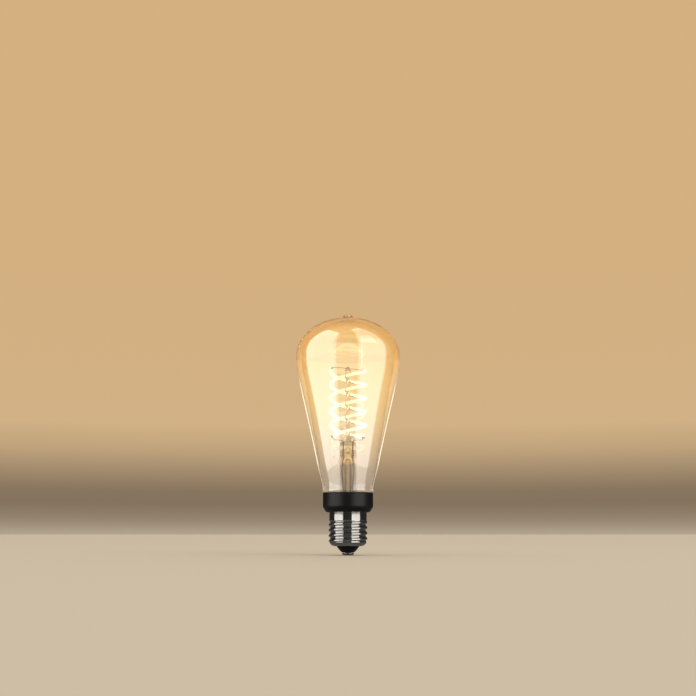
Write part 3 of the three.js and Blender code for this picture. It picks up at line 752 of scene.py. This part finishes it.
# ---------------------------------------------------------------- filament strands and wires
def helix_point(angle, start, radius=HELIX_RADIUS):
    """Point on a strand's centre line; start is 0 degrees for strand a and 180 for strand b."""
    turn = math.radians(angle + start)
    z = HELIX_MID_Z + HELIX_LEAD * (angle - 180) / 360
    return Vector((radius * math.cos(turn), radius * math.sin(turn), z))


def helix_run(start_angle, end_angle, start, steps):
    """Points along a strand's centre line between two angles."""
    step = (end_angle - start_angle) / steps
    return [helix_point(start_angle + step * k, start) for k in range(steps + 1)]


def build_strand(letter, start):
    """A filament strand with its two end clips."""
    run = helix_run(STRAND_BOTTOM_ANGLE + 4, STRAND_TOP_ANGLE - 4, start, 320)
    name = f"glowing_strand_{letter}"
    node = f"led_filament_{letter}"
    finish_mesh(name, wire_mesh(run, STRAND_RADIUS, 20), FILAMENT, [node])
    for end, angle, turn in (("top", STRAND_TOP_ANGLE, 1), ("bottom", STRAND_BOTTOM_ANGLE, -1)):
        clip = helix_run(angle - turn * 2.5, angle + turn * (CLIP_SWEEP + 1), start, 16)
        mesh = wire_mesh(clip, CLIP_RADIUS, 16)
        node = f"clip_{letter}_{end}"
        finish_mesh(f"end_clip_{letter}_{end}", mesh, WIRE, [node])


def hook_places(strand_angle, start):
    """The hook under and outside a strand."""
    centre = helix_point(strand_angle, start)
    curl = STRAND_RADIUS + 0.22
    direction = math.radians(strand_angle + start)
    loop = arc(HELIX_RADIUS, centre.z, curl, curl, 250, 395, 10)
    return [(r * math.cos(direction), r * math.sin(direction), z) for r, z in loop]


def build_hook(number, angle, start):
    """Wire from the arbor to the strand at this angle."""
    direction = math.radians(angle + start)
    z = helix_point(angle, start).z
    radial = [(ARBOR_RADIUS - 0.2, z - 1.2), (HELIX_RADIUS / 2, z - 1.3)]
    places = [(r * math.cos(direction), r * math.sin(direction), h) for r, h in radial]
    path = smooth_path(places + hook_places(angle, start), 48)
    mesh = wire_mesh(path, HOOK_WIRE, 10)
    finish_mesh(f"hook_wire_{number}", mesh, WIRE, [f"support_hook_{number}"])


def build_hooks():
    """Two hooks in each half turn, and the anchor that carries the lowest turn."""
    for level in range(4):
        hooks = [BACK_HOOK, FRONT_HOOK - 180]
        on_a, on_b = hooks if level % 2 == 0 else hooks[::-1]
        build_hook(2 * level + 1, on_a - 180 * level, 0)
        build_hook(2 * level + 2, on_b - 180 * level, 180)
    places = [
        (2, 1.1, PRESS_TOP - 0.4),
        (2, 1.2, 79.6),
        (2.3, 3, 80.9),
        *hook_places(BACK_HOOK - 720, 0),
    ]
    mesh = wire_mesh(smooth_path(places, 60), HOOK_WIRE, 10)
    finish_mesh("anchor_wire", mesh, WIRE, ["base_anchor"])


def build_cross_wire():
    """Joins the two upper strand ends through the button."""
    end = helix_point(STRAND_TOP_ANGLE + CLIP_SWEEP + 1, 0)
    near = helix_point(STRAND_TOP_ANGLE + CLIP_SWEEP + 4, 0, 5)
    places = [
        end,
        (near.x, near.y, LINK_Z),
        (0, 0, LINK_Z),
        (-near.x, -near.y, LINK_Z),
        (-end.x, -end.y, end.z),
    ]
    mesh = wire_mesh(smooth_path(places, 60), LINK_WIRE, 12)
    finish_mesh("link_wire", mesh, PLATED_WIRE, ["cross_wire"])


def build_leads():
    """On each side a lead from the press to a strand, and one down through the flare tube."""
    end = helix_point(STRAND_BOTTOM_ANGLE - CLIP_SWEEP - 1, 0)
    for side, name in ((-1, "left"), (1, "right")):
        upper = [
            (side * LEAD_X, 0, PRESS_TOP - 0.9),
            (side * (LEAD_X + 0.5), 0, PRESS_TOP + 0.5),
            (side * (LEAD_X + 2.5), 0, PRESS_TOP + 1),
            (side * 9.2, side * 1.2, PRESS_TOP + 1.2),
            (side * end.x, side * end.y, end.z),
        ]
        mesh = wire_mesh(smooth_path(upper, 60), INNER_LEAD, 12)
        node = f"upper_lead_{name}"
        finish_mesh(f"inner_lead_{name}", mesh, PLATED_WIRE, [node])
        lower = [
            (side * 3.6, -1.7, 31),
            (side * 3.4, -1.2, 36),
            (side * 3.3, -0.4, 44),
            (side * 3.5, 0, 50),
            (side * 4.1, 0, 55.5),
            (side * 4.25, 0, 59),
            (side * 3.8, 0, 62.3),
            (side * LEAD_X, 0, 65.5),
            (side * LEAD_X, 0, 70),
            (side * LEAD_X, 0, PRESS_TOP - 0.9),
        ]
        mesh = wire_mesh(smooth_path(lower, 120), OUTER_LEAD, 12)
        node = f"lower_lead_{name}"
        finish_mesh(f"outer_lead_{name}", mesh, COPPER, [node])


# ---------------------------------------------------------------- collar
def build_collar():
    """Plastic collar with a ledge for the neck and a skirt that goes into the cap shell."""
    outline = [
        (SPIGOT_BORE, node_bottom("collar")),
        (SPIGOT_RADIUS, node_bottom("collar")),
        (SPIGOT_RADIUS, COLLAR_BOTTOM + RIM_RECESS),
        (RIM_RADIUS, COLLAR_BOTTOM + RIM_RECESS),
        (RIM_RADIUS, COLLAR_BOTTOM),
        (COLLAR_FOOT, COLLAR_BOTTOM),
        (COLLAR_FOOT + 1.2, COLLAR_BOTTOM + 0.3),
        (COLLAR_RADIUS - 0.4, COLLAR_SIDE - 1.1),
        (COLLAR_RADIUS, COLLAR_SIDE),
        (COLLAR_RADIUS, COLLAR_TOP),
        (COLLAR_BORE, COLLAR_TOP),
        (COLLAR_BORE, COLLAR_LEDGE),
        (LEDGE_BORE, COLLAR_LEDGE),
        (LEDGE_BORE, LEDGE_BOTTOM),
        (SPIGOT_BORE, SPIGOT_TOP),
    ]
    soft = rounded(outline, 0.45, 6)
    mesh = turned_mesh(soft, 192, closed=True)
    return finish_mesh("collar_shell", mesh, COLLAR, ["collar"], 50)


def build_cement():
    """Ring under the glass neck, squeezed up between the neck and the collar."""
    low = node_bottom("neck_cement")
    top = NECK_BOTTOM - GAP
    outline = [
        (12.8, low),
        (CEMENT_RADIUS, low),
        (CEMENT_RADIUS, COLLAR_TOP - 0.15),
        (CEMENT_LIP, COLLAR_TOP + 0.05),
        (CEMENT_LIP, top),
        (13.4, top),
    ]
    mesh = turned_mesh(rounded(outline, 0.1, 3), 128, closed=True)
    return finish_mesh("cement_ring", mesh, SILICONE, ["neck_cement"], 50)


# ---------------------------------------------------------------- cap
def smooth_step(value, low, high):
    """0 up to low and 1 from high on, eased between them."""
    t = min(max((value - low) / (high - low), 0.0), 1.0)
    return t * t * (3 - 2 * t)


def thread_wave(turns):
    """From 1 on a crest to -1 in a valley, joined by two equal arcs as on a rolled thread."""
    quarter = THREAD_PITCH / 4
    slope = 2 * math.atan((THREAD_CREST - THREAD_ROOT) / (2 * quarter))
    radius = quarter / math.sin(slope)
    from_crest = abs(turns - round(turns)) * THREAD_PITCH
    side = 1 if from_crest <= quarter else -1
    away = from_crest if side == 1 else 2 * quarter - from_crest
    fall = radius - math.sqrt(radius * radius - away * away)
    return side * (1 - 2 * fall / (THREAD_CREST - THREAD_ROOT))


def shell_radius(angle, z):
    """Outer radius of the pressed shell: rounded shoulder, thread, smooth band."""
    middle = (THREAD_CREST + THREAD_ROOT) / 2
    depth = (THREAD_CREST - THREAD_ROOT) / 2
    if z < SHOULDER_TOP - 0.6:
        rise = (SHOULDER_TOP - z) / (SHOULDER_TOP - SHELL_BOTTOM)
        shoulder = SHELL_MOUTH + (middle - SHELL_MOUTH) * math.sqrt(max(1 - rise * rise, 0))
    else:
        shoulder = middle
    fade = smooth_step(z, SHOULDER_TOP - 0.8, SHOULDER_TOP + 0.4)
    leave = 1 - smooth_step(z, BAND_BOTTOM - 1.6, BAND_BOTTOM)
    turns = (z - THREAD_PHASE_Z) / THREAD_PITCH - angle / (2 * math.pi)
    base = shoulder + (BAND_RADIUS - middle) * (1 - leave)
    return base + depth * thread_wave(turns) * fade * leave


def build_shell():
    """Pressed metal shell: the thread shows on its inner side too."""
    sides = 240
    thread_rings = 112
    angles = [2 * math.pi * i / sides for i in range(sides)]
    depth = SHOULDER_TOP - SHELL_BOTTOM
    heights = [SHOULDER_TOP - depth * math.cos(math.radians(7 * k)) for k in range(12)]
    start = heights[-1]
    for k in range(thread_rings):
        heights.append(start + (SHELL_TOP - start) * (k + 1) / thread_rings)
    outer = []
    inner = []
    for z in heights:
        lift = 0.35 * SHELL_WALL if z < SHOULDER_TOP else 0.0
        radii = [shell_radius(a, z) for a in angles]
        for ring, wall, level in ((outer, 0.0, z), (inner, SHELL_WALL, z + lift)):
            places = [(r - wall, a) for r, a in zip(radii, angles)]
            ring.append([(r * math.cos(a), r * math.sin(a), level) for r, a in places])
    mesh = ring_mesh(outer + inner[::-1], closed=True)
    return finish_mesh("screw_shell", mesh, NICKEL, ["cap_shell"], 50)


def build_insulator():
    """Cone between shell and contact, bored for the contact's shank."""
    low = node_bottom("cap_insulator")
    outline = [
        (INSULATOR_BORE, low),
        (4.1, low),
        (5.6, 3.2),
        (7.2, 5.1),
        (INSULATOR_RADIUS, 5.7),
        (INSULATOR_RADIUS, INSULATOR_TOP),
        (INSULATOR_BORE, INSULATOR_TOP),
    ]
    mesh = turned_mesh(rounded(outline, 0.4, 4), 128, closed=True)
    return finish_mesh("insulator_glass", mesh, INSULATOR, ["cap_insulator"], 50)


def build_contact():
    """Contact button with a rounded rim, and its rivet shank."""
    outline = [
        (0, 0.0),
        (2.45, 0.0),
        (2.75, 0.03),
        (3.05, 0.16),
        *arc(3.1, 1.0, 0.9, 0.75, -60, 20, 8),
        (CONTACT_RADIUS - 0.1, CONTACT_HEIGHT - 0.05),
        (CONTACT_RADIUS - 0.3, CONTACT_HEIGHT),
        (SHANK_RADIUS, CONTACT_HEIGHT),
        (SHANK_RADIUS, SHANK_TOP - 0.2),
        (SHANK_RADIUS - 0.2, SHANK_TOP),
        (0, SHANK_TOP),
    ]
    mesh = turned_mesh(outline, 96)
    return finish_mesh("contact_button", mesh, CONTACT, ["centre_contact"], 35)


# ---------------------------------------------------------------- inner parts kept from the CAD
CAD_MATERIALS = {
    "driver_board": BOARD,
    "bulk_capacitor": CAN,
    "output_capacitor": CAN,
    "inductor": FERRITE,
    "fusible_resistor": RESISTOR,
    "input_capacitor": FILM,
    "rectifier_bridge": CHIP,
    "driver_chip": CHIP,
    "radio_module": BOARD,
    "radio_shield": SHIELD,
    "antenna": COPPER,
    "lead_terminal_left": SHIELD,
    "lead_terminal_right": SHIELD,
    "centre_wire": COPPER,
    "side_wire": COPPER,
}


def dress_cad_nodes():
    """Gives the inner parts their materials."""
    for name, material in CAD_MATERIALS.items():
        mesh = frame["nodes"][name].data
        mesh.materials.clear()
        mesh.materials.append(material)


# ---------------------------------------------------------------- stage, light and camera
SOFT_WHITE = (1.0, 0.965, 0.91)
LEFT = -70  # azimuths of the cards, in degrees from the front
RIGHT = 52
BEHIND = 180
CARD_REACH = 0.09  # metres from the bulb's axis


def build_floor():
    """Plain pale floor, left out of mirror images."""
    mesh = bmesh.new()
    bmesh.ops.create_grid(mesh, x_segments=1, y_segments=1, size=40.0)
    data = bpy.data.meshes.new("floor")
    mesh.to_mesh(data)
    mesh.free()
    floor = bpy.data.objects.new("floor", data)
    bpy.context.scene.collection.objects.link(floor)
    pale = (0.53, 0.495, 0.44, 1)
    material = new_material("floor", roughness=1.0, base_color=pale, specular_ior_level=0.0)
    data.materials.append(material)
    floor.visible_glossy = False


def add_softbox(name, azimuth, distance, width, low, high, radiance, shift=0.0, tint=SOFT_WHITE):
    """Upright softbox; azimuth is from the front, positive to the right.

    It stands from height low to height high, and shift moves it along its width.
    """
    height = high - low
    light = bpy.data.lights.new(name, "AREA")
    light.shape = "RECTANGLE"
    light.size = width
    light.size_y = height
    light.energy = radiance * math.pi * width * height
    light.color = tint
    softbox = bpy.data.objects.new(name, light)
    turn = math.radians(azimuth)
    along = Vector((math.cos(turn), math.sin(turn), 0))
    away = Vector((math.sin(turn), -math.cos(turn), 0))
    softbox.location = away * distance + along * shift + Vector((0, 0, low + height / 2))
    softbox.rotation_euler = (math.radians(90), 0, turn)
    softbox.visible_camera = False
    softbox.visible_transmission = False
    bpy.context.scene.collection.objects.link(softbox)
    return softbox


def add_card(receivers, *sizes, **options):
    """Reflection card: a softbox that only gives the receivers their highlights."""
    card = add_softbox(*sizes, **options)
    card.visible_diffuse = False
    group = bpy.data.collections.new(f"lit_by_{card.name}")
    for piece in receivers:
        group.objects.link(piece)
    card.light_linking.receiver_collection = group


def build_glass_cards(glass):
    """Cards for the long highlights on the glass, and for the warm light on its rim."""
    foot = ((0.004, 0.018, 0.6), (0.018, 0.030, 0.85))
    left_levels = (*foot, (0.030, 0.329, 1.5))
    right_levels = (*foot, (0.030, 0.200, 1.35), (0.200, 0.440, 0.75), (0.440, 0.600, 1.35))
    for edge in (0.0, 0.020):  # a wider card behind a narrow one softens their edges
        reach = CARD_REACH + edge / 10
        width = 0.104 + 1.3 * edge
        shift = 0.028 + edge / 3
        for number, level in enumerate(left_levels):
            add_card(glass, f"card_left_{number}", LEFT, reach, width, *level, shift)
        width = 0.086 + edge
        for number, level in enumerate(right_levels):
            add_card(glass, f"card_right_{number}", RIGHT, reach, width, *level, -0.006)
    add_card(glass, "card_middle", -9, 0.13, 0.15, 0.09, 0.185, 0.9, 0.025)
    amber = (1.0, 0.80, 0.55)
    add_card(glass, "card_back", BEHIND, 0.3, 0.30, 0.06, 0.146, 1.3, tint=amber)
    glow = (
        (0.0, 0.17, (1.0, 0.83, 0.60)),
        (0.17, 0.24, (1.0, 0.72, 0.42)),
        (0.24, 0.31, (0.9, 0.53, 0.23)),
        (0.31, 1.60, (0.7, 0.33, 0.11)),
    )
    for low, high, tint in glow:
        add_card(glass, "glow_back", BEHIND, 1.0, 3.0, low, high, 0.72, tint=tint)


def build_cap_cards(cap, shell):
    """Cards for the two bands of light on the collar and the metal shell."""
    levels = (
        (shell, -0.035, 0.004, 2.0),
        (cap, 0.004, 0.029, 1.8),
        (cap, 0.031, 0.070, 2.3),
    )
    for pieces, *level in levels:
        add_card(pieces, "cap_card_left", LEFT, CARD_REACH, 0.102, *level, 0.025)
        add_card(pieces, "cap_card_right", RIGHT, CARD_REACH, 0.088, *level, -0.008)


def background(tree, height, stops):
    """World shader whose colour follows the height, given from 0 to 1."""
    node = tree.nodes.new("ShaderNodeBackground")
    ramp(tree, height, stops, node.inputs["Color"])
    return node.outputs["Background"]


def mixed(tree, factor, first, second):
    """First shader where the factor is 0, second where it is 1."""
    node = tree.nodes.new("ShaderNodeMixShader")
    tree.links.new(factor, node.inputs["Fac"])
    tree.links.new(first, node.inputs[1])
    tree.links.new(second, node.inputs[2])
    return node.outputs["Shader"]


def build_world():
    """Pale surroundings, with a tan backdrop for the camera and dim ones for mirror images."""
    world = bpy.data.worlds.new("studio")
    bpy.context.scene.world = world
    world.use_nodes = True
    tree = world.node_tree
    tree.nodes.clear()
    direction = tree.nodes.new("ShaderNodeTexCoord")
    split = tree.nodes.new("ShaderNodeSeparateXYZ")
    tree.links.new(direction.outputs["Generated"], split.inputs["Vector"])
    above_horizon = split.outputs["Z"]
    upright = tree.nodes.new("ShaderNodeMapRange")
    upright.inputs["From Min"].default_value = -1.0
    tree.links.new(above_horizon, upright.inputs["Value"])
    surroundings = background(tree, above_horizon, [
        (0.0, (0.29, 0.24, 0.195)),
        (0.045, (0.41, 0.345, 0.28)),
        (0.066, (0.66, 0.56, 0.44)),
        (0.095, (0.94, 0.83, 0.67)),
        (0.13, (1.10, 0.98, 0.80)),
    ])
    backdrop = background(tree, above_horizon, [
        (0.0, (0.44, 0.37, 0.28)),
        (0.014, (0.30, 0.235, 0.165)),
        (0.03, (0.23, 0.17, 0.11)),
        (0.044, (0.25, 0.18, 0.115)),
        (0.065, (0.38, 0.27, 0.16)),
        (0.085, (0.53, 0.37, 0.205)),
        (0.11, (0.64, 0.44, 0.235)),
        (0.3, (0.66, 0.43, 0.215)),
    ])
    mirror_image = background(tree, upright.outputs["Result"], [
        (0.0, (0.16, 0.157, 0.15)),
        (0.4, (0.13, 0.127, 0.12)),
        (0.49, (0.035, 0.035, 0.033)),
        (0.75, (0.04, 0.04, 0.038)),
        (1.0, (0.16, 0.155, 0.145)),
    ])
    path = tree.nodes.new("ShaderNodeLightPath")
    mirrored = tree.nodes.new("ShaderNodeMath")  # seen in a mirror, and not through glass
    mirrored.operation = "SUBTRACT"
    mirrored.use_clamp = True
    tree.links.new(path.outputs["Is Glossy Ray"], mirrored.inputs[0])
    tree.links.new(path.outputs["Is Transmission Ray"], mirrored.inputs[1])
    light = mixed(tree, mirrored.outputs["Value"], surroundings, mirror_image)
    final = mixed(tree, path.outputs["Is Camera Ray"], light, backdrop)
    output = tree.nodes.new("ShaderNodeOutputWorld")
    tree.links.new(final, output.inputs["Surface"])


def build_camera():
    """Low in front of the bulb, looking up as in the photograph."""
    camera = bpy.data.cameras.new("camera")
    camera.lens = 50
    camera.sensor_width = 36
    camera.clip_start = 0.01
    holder = bpy.data.objects.new("camera", camera)
    holder.location = (0, -0.668, 0.014)
    tilt = 10.9  # degrees above level
    holder.rotation_euler = (math.radians(90 + tilt), 0, 0)
    bpy.context.scene.collection.objects.link(holder)
    bpy.context.scene.camera = holder


def set_light_paths():
    """Enough bounces to see through the bulb, the stem and the tube inside it."""
    glass_bounces = 28
    cycles = bpy.context.scene.cycles
    cycles.max_bounces = glass_bounces
    cycles.transmission_bounces = glass_bounces
    cycles.glossy_bounces = 8
    bpy.context.scene.view_settings.view_transform = "Standard"


build_camera()
glass_pieces = [build_glass(), build_stem(), build_exhaust_tube(), build_arbor()]
build_strand("a", 0)
build_strand("b", 180)
build_hooks()
build_cross_wire()
build_leads()
build_cement()
shell_pieces = [build_shell()]
cap_pieces = [build_collar(), build_insulator(), build_contact()] + shell_pieces
dress_cad_nodes()
build_floor()
add_softbox("key_light", 48, 1.1, 0.9, 0.7, 1.6, 1.2)
build_glass_cards(glass_pieces)
build_cap_cards(cap_pieces, shell_pieces)
build_world()
set_light_paths()
